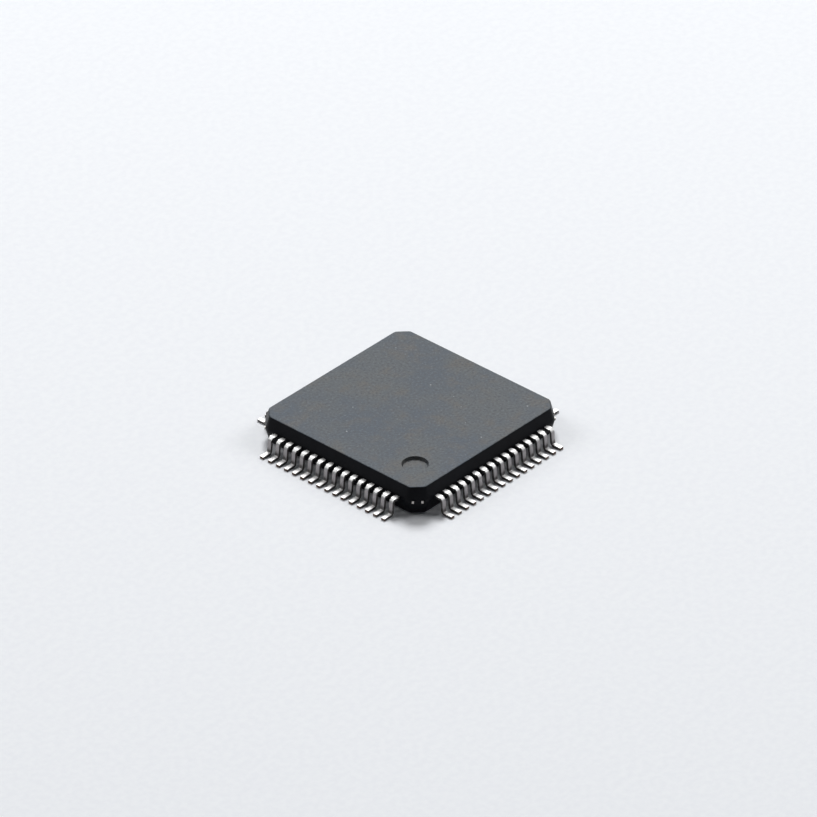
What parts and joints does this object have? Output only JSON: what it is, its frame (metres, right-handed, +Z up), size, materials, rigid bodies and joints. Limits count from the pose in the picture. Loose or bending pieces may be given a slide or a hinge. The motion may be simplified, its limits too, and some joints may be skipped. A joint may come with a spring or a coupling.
{
  "type": "microcontroller",
  "caption": "Square black surface-mount microcontroller in a low-profile moulded package with gull-wing leads on all four sides and a round pin-1 dimple.",
  "frame": {"origin": "centre of the package in the seating plane, where the undersides of the feet stand on the board", "axes": "+Z up, away from the board; the pin-1 dimple is towards -X and -Y; pins 1 to 16 face -Y and count towards +X, and the rest follow counter-clockwise seen from above"},
  "size_m": [0.012, 0.012, 0.0015],
  "materials": {
    "mould_compound": "fine matte moulding with smoother tapered sides",
    "tinned_lead": "satin tin plating over copper alloy",
    "copper_strip": "bare stamped copper alloy",
    "attach_epoxy": "silver-filled epoxy",
    "silicon": "polished silicon",
    "gold_wire": "bright gold"
  },
  "bodies": {
    "root": {"moulding": "mould_compound", "leads_01_04": "tinned_lead", "leads_05_08": "tinned_lead", "leads_09_12": "tinned_lead", "leads_13_16": "tinned_lead", "leads_17_20": "tinned_lead", "leads_21_24": "tinned_lead", "leads_25_28": "tinned_lead", "leads_29_32": "tinned_lead", "leads_33_36": "tinned_lead", "leads_37_40": "tinned_lead", "leads_41_44": "tinned_lead", "leads_45_48": "tinned_lead", "leads_49_52": "tinned_lead", "leads_53_56": "tinned_lead", "leads_57_60": "tinned_lead", "leads_61_64": "tinned_lead", "die_pad": "copper_strip", "die_attach": "attach_epoxy", "silicon_chip": "silicon", "bond_wires_01_04": "gold_wire", "bond_wires_05_08": "gold_wire", "bond_wires_09_12": "gold_wire", "bond_wires_13_16": "gold_wire", "bond_wires_17_20": "gold_wire", "bond_wires_21_24": "gold_wire", "bond_wires_25_28": "gold_wire", "bond_wires_29_32": "gold_wire", "bond_wires_33_36": "gold_wire", "bond_wires_37_40": "gold_wire", "bond_wires_41_44": "gold_wire", "bond_wires_45_48": "gold_wire", "bond_wires_49_52": "gold_wire", "bond_wires_53_56": "gold_wire", "bond_wires_57_60": "gold_wire", "bond_wires_61_64": "gold_wire"}
  },
  "joints": []
}
